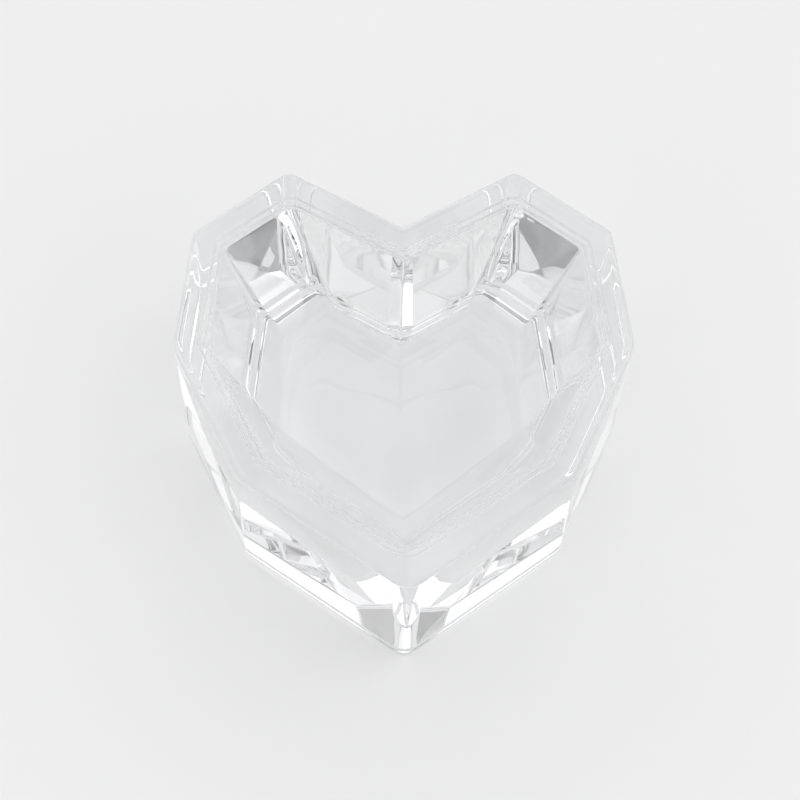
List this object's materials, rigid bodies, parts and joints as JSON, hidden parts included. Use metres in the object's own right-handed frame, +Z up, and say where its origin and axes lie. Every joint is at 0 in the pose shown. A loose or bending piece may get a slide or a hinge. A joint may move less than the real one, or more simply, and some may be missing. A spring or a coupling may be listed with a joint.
{
  "type": "faceted glass heart dish",
  "caption": "Heart-shaped open dish of thick clear pressed glass, with a flat rim, a sloping lip and faceted inner walls around a shallow V floor; holds small trinkets.",
  "frame": {"origin": "centre of the dish's bounding box, in the plane of the ring it rests on", "axes": "+Z up out of the dish's open mouth, -Y towards the heart's point, +X to the right when the point faces the viewer"},
  "size_m": [0.0896, 0.0892, 0.0386],
  "materials": {
    "clear_glass": "clear, fire-polished pressed glass"
  },
  "bodies": {
    "root": {"heart_dish": "clear_glass"}
  },
  "joints": []
}
